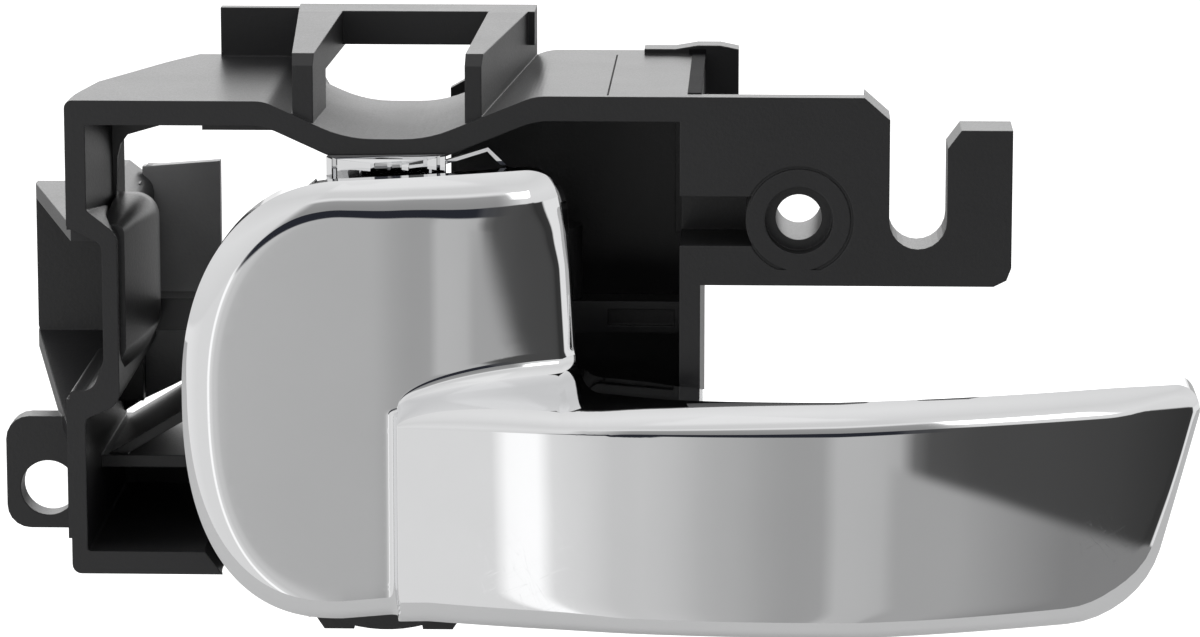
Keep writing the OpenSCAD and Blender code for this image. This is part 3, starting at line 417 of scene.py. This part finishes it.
def edge_radius(x, z):
    """Radius of the soft outer edge: tighter along the body's right side and towards the grip's end."""
    side = ease((x - BODY_RIGHT + 9) / 3) * ease((BODY_RIGHT + 6 - x) / 4) * ease((3.5 - z) / 5) * ease((z + 24) / 6)
    top = ease((z + 6) / 5) * (0.6 * ease((x + 58) / 8) + 0.7 * ease((x + 50) / 10))
    end = 0.9 * ease((x - BODY_RIGHT + 2) / 10) + 0.4 * ease((x - 5) / 15) + 2.9 * ease((x - RIGHT + 12) / 10)
    return 5.8 + top - end - 2.8 * side


def back_at(x):
    return 2.5 - 2.5 * ease((x - HX - 8) / 10) + (grip_at(x, -36) - 8.5) * ease((x - BODY_RIGHT - 3) / 22)


EDGE_T = np.linspace(0, 1, 400)
EDGE_SLOPE = np.tan(EDGE_ANGLE * EDGE_T ** EDGE_POWER)
EDGE_DROP = np.concatenate([[0], np.cumsum((EDGE_SLOPE[1:] + EDGE_SLOPE[:-1]) / 2) * EDGE_T[1]])


def edge_place(p, dist):
    """Width of the rounded edge, and how far through it each point lies."""
    w = edge_radius(p[:, 0], p[:, 1]) * EDGE_WIDTH
    return w, np.clip(1 - dist / w, 0, 1)


def near_head(p):
    return (p[:, 1] > HEAD_ROOM_LOW) & (np.abs(p[:, 0] - HEAD_MID) < HEAD_HALF)


def back_edge(p, h):
    """Where the side wall ends at the open back; it leaves room round the hinge's head."""
    back = np.minimum(back_at(p[:, 0]), h - 0.05)
    return np.where(near_head(p), np.maximum(back, h - SHELL), back)


def height(p, dist, inset=0.0):
    w, t = edge_place(p, dist)
    return face_at(p[:, 0], p[:, 1], inset) - inset - w * np.interp(t, EDGE_T, EDGE_DROP)


def shell_points(rings, spacing, extra):
    """Plan points: rings along the outline, then a grid inside them."""
    pts, bound = [], None
    for d, stride in rings:
        q = RING[::stride] + CORNER_IN[::stride] * d
        if bound is None:
            bound = q
            pts.append(q)
            continue
        true, _ = to_edge(q)
        pts.append(q[true > d - 0.03])
    gx = np.arange(LEFT, RIGHT, spacing)
    gz = np.arange(GRIP_BOTTOM, TOP + 1, spacing)
    grid = np.array(np.meshgrid(gx, gz)).reshape(2, -1).T
    grid = grid[np.abs(grid[:, 0] - STEP_X) > STEP_GAP]
    for plan, gap in ((grid, rings[-1][0] + spacing * 0.4), (extra, 0.05)):
        plan = plan[inside_ring(plan, bound)]
        pts.append(plan[to_edge(plan)[0] > gap])
    allp = np.vstack(pts)
    # Leave out points that nearly coincide
    cell = np.round(allp / 0.004).astype(int)
    _, first = np.unique(cell, axis=0, return_index=True)
    first = np.sort(first)
    first = np.concatenate([np.arange(len(bound)), first[first >= len(bound)]])
    return allp[first], len(bound)


def inside_ring(p, ring):
    a, b = ring, np.roll(ring, -1, axis=0)
    hit = np.zeros(len(p), int)
    for i in range(0, len(p), 4000):
        q = p[i:i + 4000, None, :]
        cross = (a[:, 1] > q[..., 1]) != (b[:, 1] > q[..., 1])
        run = np.where(b[:, 1] == a[:, 1], 1e-9, b[:, 1] - a[:, 1])
        xs = (b[:, 0] - a[:, 0]) * (q[..., 1] - a[:, 1]) / run + a[:, 0]
        hit[i:i + 4000] = (cross & (q[..., 0] < xs)).sum(1)
    return hit % 2 == 1


def triangulate(p, n):
    verts, _, faces, orig, _, _ = delaunay_2d_cdt([Vector(q) for q in p], [], [list(range(n))], 1, 1e-7)
    return np.array([tuple(v) for v in verts]), [tuple(f) for f in faces]


class Mesh:
    """Collects points, faces and point normals, in millimetres behind the rim."""

    def __init__(self):
        self.v, self.f, self.n = [], [], []

    def add(self, verts, faces, normals=None):
        base = len(self.v)
        self.v += [tuple(p) for p in verts]
        self.n += [tuple(q) for q in normals] if normals is not None else [(0.0, 0.0, 0.0)] * len(verts)
        self.f += [tuple(base + i for i in f) for f in faces]

    def build(self, name):
        me = bpy.data.meshes.new(name)
        pts = (np.array(self.v) - [0, SEAT, 0]) * MM
        me.from_pydata(pts.tolist(), [], self.f)
        me.update()
        n = np.array(self.n)
        me.shade_smooth()
        me.normals_split_custom_set_from_vertices(n.tolist())
        ob = bpy.data.objects.new(name, me)
        bpy.context.collection.objects.link(ob)
        return ob


def lever_shell(mesh):
    # Outer face
    near_step = [(STEP_X + o, z) for z in np.concatenate([np.arange(-49, -25.2, 0.7), np.arange(-25, -20.5, 0.16)])
                 for o in (-2.05, -1.9, -1.75, -1.6, -1.45, -1.3, -1.15, -1.0, -0.8, -0.6, -0.4, -0.2, -0.1, -0.04,
                           -0.008, 0.008, 0.05, 0.12, 0.22, 0.35, 0.55)]
    # Points that follow the curved blend, close together where it turns
    turn = np.linspace(0.035, math.pi / 2, 72)
    along = np.concatenate([BLEND_RIGHT - (BLEND_RIGHT - STEP_X) * np.cos(turn),
                            BLEND_RIGHT + np.arange(0.4, 6, 0.4)])
    top = blend_top(along)
    length = np.maximum(BLEND_MIN, top - BLEND_LOW)
    blend = [(x, t - u * k) for x, t, k in zip(along, top, length)
             for u in (-0.15, -0.05, 0, 0.03, 0.06, 0.09, 0.12, 0.15, 0.18, 0.21, 0.24, 0.27, 0.3, 0.33, 0.36, 0.4,
                       0.44, 0.47, 0.5, 0.55, 0.6, 0.7, 0.8, 0.9, 1.0, 1.1)]
    rings = [(0, 1), (0.02, 1), (0.08, 1), (0.18, 1), (0.34, 1), (0.55, 1), (0.8, 1), (1.1, 2), (1.45, 2), (1.85, 2),
             (2.3, 2), (2.8, 2), (3.3, 2), (3.8, 2), (4.3, 2), (4.8, 2)]
    p, n = shell_points(rings, 1.0, np.array(near_step + blend))
    p, faces = triangulate(p, n)
    dist, inward = to_edge(p)
    dist[:n] = 0
    h = height(p, dist)
    eps = 0.004
    fx = (face_at(p[:, 0] + eps, p[:, 1]) - face_at(p[:, 0] - eps, p[:, 1])) / (2 * eps)
    fz = (face_at(p[:, 0], p[:, 1] + eps) - face_at(p[:, 0], p[:, 1] - eps)) / (2 * eps)
    _, t = edge_place(p, dist)
    tilt = np.tan(EDGE_ANGLE * t ** EDGE_POWER)
    normal = np.c_[-fx - tilt * inward[:, 0], -np.ones(len(p)), -fz - tilt * inward[:, 1]]
    normal /= np.linalg.norm(normal, axis=1)[:, None]
    mesh.add(np.c_[p[:, 0], -h, p[:, 1]], facing(p, faces), normal)
    # Side wall down to the open back
    edge = p[:n]
    out = -inward[:n]
    side = np.c_[out[:, 0], np.zeros(n), out[:, 1]]
    back = back_edge(edge, h[:n])
    ring = [[i, (i + 1) % n, n + (i + 1) % n, n + i] for i in range(n)]
    mesh.add(np.vstack([np.c_[edge[:, 0], -h[:n], edge[:, 1]], np.c_[edge[:, 0], -back, edge[:, 1]]]), ring,
             np.vstack([side, side]))
    # Rim round the open back
    q = edge - out * SHELL
    qback = back_edge(q, h[:n])
    mesh.add(np.vstack([np.c_[edge[:, 0], -back, edge[:, 1]], np.c_[q[:, 0], -qback, q[:, 1]]]), ring,
             np.tile((0.0, 1.0, 0.0), (2 * n, 1)))


def facing(p, faces):
    """Turns each face so that it looks towards the passenger."""
    out = []
    for f in faces:
        a, b, c = p[f[0]], p[f[1]], p[f[2]]
        turn = (b[0] - a[0]) * (c[1] - a[1]) - (b[1] - a[1]) * (c[0] - a[0])
        out.append(f if turn > 0 else f[::-1])
    return out


def lever_inside(mesh):
    ring = RING[::2] + CORNER_IN[::2] * SHELL
    true, _ = to_edge(ring)
    ring = ring[true > SHELL - 0.05]
    gx, gz = np.arange(LEFT, RIGHT, 1.6), np.arange(GRIP_BOTTOM, TOP, 1.6)
    grid = np.array(np.meshgrid(gx, gz)).reshape(2, -1).T
    step = np.array([(STEP_X + SHELL + o, z) for z in np.arange(-47, -19, 1.5) for o in (-1.3, -0.7, -0.2, 0, 0.2, 0.6)])
    grid = np.vstack([grid, step])
    grid = grid[inside_ring(grid, ring)]
    true, _ = to_edge(grid)
    grid = grid[true > SHELL + 0.3]
    p, faces = triangulate(np.vstack([ring, grid]), len(ring))
    dist, _ = to_edge(p)
    h = np.maximum(height(p, np.maximum(dist, SHELL), SHELL), back_at(p[:, 0]) + 0.05)
    n = len(ring)
    back = np.where(near_head(p[:n]), h[:n] - 0.02, back_at(p[:n, 0]))
    sheet = [f[::-1] for f in facing(p, faces)]
    mesh.add(np.c_[p[:, 0], -h, p[:, 1]], sheet)
    wall = [[i, n + i, n + (i + 1) % n, (i + 1) % n] for i in range(n)]
    mesh.add(np.vstack([np.c_[p[:n, 0], -h[:n], p[:n, 1]], np.c_[p[:n, 0], -back, p[:n, 1]]]), wall)


def solid(bm, name, mesh_edge=0.0):
    me = bpy.data.meshes.new(name)
    if mesh_edge:
        sharp = [e for e in bm.edges if e.calc_face_angle(0) > 0.6]
        bmesh.ops.bevel(bm, geom=sharp, offset=mesh_edge, segments=2, affect="EDGES", profile=0.5)
    bmesh.ops.recalc_face_normals(bm, faces=bm.faces)
    bm.to_mesh(me)
    ob = bpy.data.objects.new(name, me)
    bpy.context.collection.objects.link(ob)
    return ob


def prism(points, low, high, axis="Z"):
    """A closed prism over a plan polygon, in millimetres; axis Y draws points in X and Z."""
    bm = bmesh.new()
    if axis == "Z":
        rows = [[(x, y, z) for x, y in points] for z in (low, high)]
    elif axis == "Y":
        rows = [[(x, y, z) for x, z in points] for y in (low, high)]
    else:
        rows = [[(x, y, z) for y, z in points] for x in (low, high)]
    vs = [[bm.verts.new((p[0] * MM, (p[1] - SEAT) * MM, p[2] * MM)) for p in r] for r in rows]
    n = len(points)
    bm.faces.new(vs[0])
    bm.faces.new(vs[1][::-1])
    for i in range(n):
        bm.faces.new((vs[0][i], vs[1][i], vs[1][(i + 1) % n], vs[0][(i + 1) % n]))
    return bm


def disc(cx, cy, r, n=64, start=0.0, end=2 * math.pi):
    full = abs(end - start - 2 * math.pi) < 1e-6
    k = n if full else n + 1
    return [(cx + r * math.cos(start + (end - start) * i / n), cy + r * math.sin(start + (end - start) * i / n))
            for i in range(k)]


def smooth(ob, angle=0.7):
    ob.data.shade_smooth()
    ob.data.set_sharp_from_angle(angle=angle)
    return ob


chrome = metal("chrome_plating", (0.875, 0.878, 0.885), 0.035, waves=0.05, scratches=0.12)
mesh = Mesh()
lever_shell(mesh)
shell = mesh.build("lever_shell")
shell.data.materials.append(chrome)
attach(shell, "lever_body")
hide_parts("lever")

inner = Mesh()
lever_inside(inner)
inside = inner.build("lever_inside")
smooth(inside)
inside.data.materials.append(chrome)
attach(inside, "lever_body")


def lever_part(bm, name, edge):
    ob = smooth(solid(bm, name, edge * MM))
    ob.data.materials.append(chrome)
    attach(ob, "lever_body")
    return ob


UNDER = 15.5 - 5.5 - 3.1           # underside of the housing's trough over the hinge
BARREL_TOP = UNDER - 0.3
EAR_TOP = -50.6                    # top of the housing's lower ear
BARREL_LOW = EAR_TOP + 0.9
R, HOLE = 7.0, 3.27                # radii of the barrel and of its bore
BARREL_SIDES = 72


def barrel(name, low, high):
    """A tube on the hinge axis with softened rims."""
    bm = bmesh.new()
    e = 0.25
    profile = [(HOLE, low), (R - e, low), (R, low + e), (R, high - e), (R - e, high), (HOLE, high)]
    rings = []
    for i in range(BARREL_SIDES):
        a = 2 * math.pi * i / BARREL_SIDES
        rings.append([bm.verts.new(((HX + r * math.cos(a)) * MM, (HY + r * math.sin(a) - SEAT) * MM, z * MM))
                      for r, z in profile])
    for i in range(BARREL_SIDES):
        for j in range(len(profile)):
            a, b = rings[i], rings[(i + 1) % BARREL_SIDES]
            k = (j + 1) % len(profile)
            bm.faces.new((a[j], b[j], b[k], a[k]))
    return lever_part(bm, name, 0)


COIL_TOP = -16.0
COIL_TURNS, COIL_PITCH = 8.25, 1.5
COIL_LOW = COIL_TOP - COIL_TURNS * COIL_PITCH
UPPER_KNUCKLE, LOWER_KNUCKLE = COIL_TOP + 3.7, COIL_LOW - 3.2
barrel("lever_barrel_upper", UPPER_KNUCKLE, 3.4)
barrel("lever_barrel_lower", BARREL_LOW, LOWER_KNUCKLE)
for name, low, high in (("lever_web_upper", UPPER_KNUCKLE, 3.5), ("lever_web_lower", -42.6, LOWER_KNUCKLE)):
    lever_part(prism([(HX - R, 1 - body_at(HX - R)), (HX + R, 1 - body_at(HX + R)), (HX + R, HY - 3.5),
                      (HX - R, HY - 3.5)], low, high), name, 0.3)
# Faceted head of the barrel, with a slot and a shallow recess in its front
HEAD_LOW = 3.4
HEAD = [(-7.0, -0.35), (-7.0, -1.6), (-6.3, -1.9), (-6.25, -0.8), (-5.85, -0.8), (-5.8, -1.0), (-1.45, -2.2),
        (-1.0, -1.9), (-0.95, -1.1), (0.55, -0.95), (0.65, -1.5), (1.05, -1.5), (1.15, -0.9), (2.4, -0.7),
        (2.45, -1.9), (3.3, -2.2), (3.35, -1.4), (5.6, -0.6), (5.65, -1.6), (6.8, -2.0), (6.85, -0.8), (7.2, -0.8),
        (7.25, -1.9), (7.9, -2.1), (7.9, -0.35)]
TROUGH = ((-7.1, 7.9), (-5.8, 7.5), (-2.3, 7.2), (1.5, 6.9), (3.3, 7.1), (5.6, 7.5), (6.8, 7.9), (7.9, 8.1))
bm = prism([(HX + x, y) for x, y in HEAD], HEAD_LOW, BARREL_TOP)
for v in bm.verts:
    if v.co.z > (BARREL_TOP - 0.1) * MM:
        v.co.z = (float(np.interp(v.co.x / MM - HX, *zip(*TROUGH))) + 0.1) * MM
lever_part(bm, "lever_head", 0.06)
# The barrel's end behind it is flat in front
FLAT_Y = -0.5
flat = math.asin((HY - FLAT_Y) / R)
for i, way in enumerate((1, -1)):
    ring = ([(R * math.cos(a), R * math.sin(a)) for a in np.linspace(-flat, math.pi / 2, 24)]
            + [(HOLE * math.cos(a), HOLE * math.sin(a)) for a in np.linspace(math.pi / 2, -math.pi / 2, 24)]
            + [(0, FLAT_Y - HY)])
    lever_part(prism([(HX + way * x, HY + y) for x, y in ring], HEAD_LOW, BARREL_TOP), f"lever_barrel_end_{i}", 0)
ARM_Z, ARM_T, ARM_W, ARM_LEN = -9.6, 4.0, 8.0, 28.0
arm = [(HX - ARM_W / 2, HY + 4)] + disc(HX, HY + ARM_LEN, ARM_W / 2, 24, math.pi, 0) + [(HX + ARM_W / 2, HY + 4)]
lever_part(prism(arm, ARM_Z, ARM_Z + ARM_T), "lever_arm", 0.4)
G = BARREL_TOP
A, B, C = (HX + R + 0.7, G + 0.6), (HX + 13.1, G + 2.3), (HX + 15.8, TOP - 0.2)
frame_bars = [
    [(HX + R - 1, G), A, B, (HX + 13.0, G + 1.8), (HX + R + 0.8, G + 0.15), (HX + R - 1, G - 0.5)],
    [B, C, (HX + 15.8, 3.0), (HX + 15.2, 3.0), (HX + 15.2, TOP - 0.4), (HX + 13.0, G + 1.8)],
    [(HX + R - 1, G - 0.5), (HX + R, G - 0.5), (HX + R, 3.0), (HX + R - 1, 3.0)]]
for i, bar in enumerate(frame_bars):
    lever_part(prism(bar[::-1], 0.8, 2.0, "Y"), f"lever_gusset_{i}", 0.12)
lever_part(prism([(HX + R - 1, 3.0), (HX + 15.8, 3.0), (HX + 15.8, 4.4), (HX + R - 1, 4.4)], -3.4, HY, "Y"),
           "lever_gusset_strip", 0.12)
spring_rib = [(HX - 12, -8.1), (HX - 10.6, -8.0), (HX - 10.6, -1.0), (HX - 12, -1.0)]
lever_part(prism(spring_rib, COIL_LOW - 3, COIL_LOW + 3), "lever_spring_rib", 0.15)
# Ribs in the open back; they end inside the shell's wall and short of the rim
RIB_HALF, RIB_SUNK, RIB_SHORT, RIB_LONG_Z = 0.7, 1.0, 1.4, -35.4
for i, x in enumerate((HX - 14, HX + 38, HX + 54, HX + 70, HX + 85)):
    zs = np.linspace(-49.2 if i else -44, -21.9 if i else 2.6, 16)
    plan = np.c_[np.full(16, x), zs]
    face = height(plan, to_edge(plan)[0]) - RIB_SUNK
    back = float(back_at(np.array([x]))[0]) + RIB_SHORT
    pts = [(-f, z) for f, z in zip(face, zs)] + [(-back, zs[-1]), (-back, zs[0])]
    lever_part(prism(pts, x - RIB_HALF, x + RIB_HALF, "X"), f"lever_rib_{i}", 0.1)
xs = np.linspace(BODY_RIGHT + 4, RIGHT - 7, 24)
plan = np.c_[xs, np.full(24, RIB_LONG_Z)]
face = height(plan, to_edge(plan)[0]) - RIB_SUNK
back = back_at(xs) + RIB_SHORT
pts = [(x, -f) for x, f in zip(xs, face)] + [(x, -b) for x, b in zip(xs[::-1], back[::-1])]
lever_part(prism(pts, RIB_LONG_Z - RIB_HALF, RIB_LONG_Z + RIB_HALF), "lever_rib_long", 0.1)

# ---------------------------------------------------------------- materials on the solids that stay
black = plastic("black_plastic", (0.0155, 0.0155, 0.0165), 0.34, spread=0.03)
# A far paler copy of the black plastic: painted light for the light that falls on the back plate's inner face
painted_light_plastic = plastic("back_plate_painted_light", (0.30, 0.30, 0.305), 0.4, grain=0.35, spread=0.04)
# A darker, duller copy of the black plastic: painted shade on the ledge and post, and the dark joint of the parting
# line
shade_and_joint_black = plastic("painted_shade_and_joint_plastic", (0.006, 0.006, 0.007), 0.7, specular=0.1)
rubber = plastic("bumper_rubber", (0.014, 0.014, 0.015), 0.62, grain=0.4)
acetal = plastic("bush_plastic", (0.72, 0.69, 0.61), 0.4, grain=0.1, spread=0.04)
clip = plastic("clip_plastic", (0.74, 0.73, 0.69), 0.42, grain=0.12, spread=0.04)
steel = metal("pin_steel", (0.56, 0.57, 0.59), 0.28, edge=0.2, scratches=0.2)
wire = metal("spring_steel", (0.44, 0.45, 0.47), 0.32, scratches=0.2)
for node, mat in (("housing", black), ("rest_bumper", rubber), ("travel_bumper", rubber), ("upper_bush", acetal),
                  ("lower_bush", acetal), ("rod_clip", clip), ("pivot_pin", steel), ("retaining_clip", steel),
                  ("return_spring", wire)):
    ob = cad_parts[node]
    for s in ob.material_slots:
        s.material = mat
    if not ob.material_slots:
        ob.data.materials.append(mat)

# ---------------------------------------------------------------- fine shapes on the housing
BOX_LEFT, BOX_RIGHT, BOX_TOP = HX - 40.0, HX + 39.7, 15.5


def loft(sections, depths):
    """A closed solid through plan sections in X and Z, each at its own depth behind the rim."""
    bm = bmesh.new()
    rows = [[bm.verts.new((x * MM, (y - SEAT) * MM, z * MM)) for x, z in s] for s, y in zip(sections, depths)]
    n = len(rows[0])
    bm.faces.new(rows[0])
    bm.faces.new(rows[-1][::-1])
    for a, b in zip(rows, rows[1:]):
        for i in range(n):
            bm.faces.new((a[i], b[i], b[(i + 1) % n], a[(i + 1) % n]))
    return bm


def housing_part(bm, name, edge, mat):
    ob = smooth(solid(bm, name, edge * MM), 0.5)
    ob.data.materials.append(mat)
    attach(ob, "housing_body")
    return ob


def at_left(points):
    return [(BOX_LEFT + x, z) for x, z in points]


def bulge(right, top, r, low):
    return at_left([(4.6, top)] + [tuple(q) for q in corner((4.6, top), (right, top), (right, low), r, 8)]
                   + [tuple(q) for q in corner((right, top), (right, low), (right - 1.6, low - 3.4), 1.5, 4)]
                   + [(right - 1.6, low - 3.4), (4.6, -22.3)])


# The left wall's step swells inwards behind its front edge
depths = [2.0, 6.0, 10.0, 14.0, 16.0, 17.0, 17.4]
rights = [7.05, 8.1, 9.0, 9.7, 9.9, 9.6, 8.8]
tops = [-1.4, -0.5, 0.1, 0.5, 0.5, 0.2, -0.6]
sections = [bulge(r, t, 0.8 + 0.16 * min(y, 14), -17.6 + 0.1 * y) for r, t, y in zip(rights, tops, depths)]
housing_part(loft(sections, depths), "housing_bulge", 0, black)
# Inner face of the back plate, made pale with painted light, the strip that closes it on the left, and the window's
# frame
housing_part(prism(at_left([(4.9, -0.1), (15.25, 0.7), (15.25, -26.0), (9.0, -29.5), (4.9, -31.5)])[::-1],
                   39.7, 41.5, "Y"), "housing_back_face", 0.1, painted_light_plastic)
housing_part(prism(at_left([(1.2, -45.2), (3.2, -45.2), (3.2, -34.4), (1.2, -34.4)]), 39.9, 41.9, "Y"),
             "housing_back_strip", 0.1, black)
housing_part(prism(at_left([(2.6, -1.0), (4.7, -1.0), (4.9, 5.4), (5.3, 7.0), (6.3, 8.3), (10.8, 9.6), (17.0, 11.6),
                            (2.6, 11.9)]), 13.6, 15.4, "Y"), "housing_window_frame", 0.2, black)
# Ledge at the top plate's right end and the post behind it, darkened as painted shade, and the parting line across the
# plate, a dark joint
housing_part(prism([(BOX_RIGHT - 1.7, 2.8), (BOX_RIGHT + 0.05, 2.8), (BOX_RIGHT + 0.05, 38.1), (BOX_RIGHT - 1.7, 38.1)],
                   BOX_TOP - 0.4, BOX_TOP + 0.12), "housing_end_ledge", 0, shade_and_joint_black)
housing_part(prism([(BOX_RIGHT - 2.1, 37.9), (BOX_RIGHT + 0.1, 37.9), (BOX_RIGHT + 0.1, 41.9), (BOX_RIGHT - 2.1, 41.9)],
                   BOX_TOP - 2.0, BOX_TOP + 0.75), "housing_end_post", 0.1, shade_and_joint_black)
housing_part(prism([(-24.05, 1.5), (-23.85, 1.5), (-23.75, 37.0), (-23.95, 37.0)], BOX_TOP - 0.3, BOX_TOP + 0.05),
             "housing_parting_line", 0, shade_and_joint_black)

studio()
floor()
lamp("top_lamp", (-0.25, -0.1, 0.9), (-0.02, 0, -0.02), 0.5, 3.0)

low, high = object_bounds()
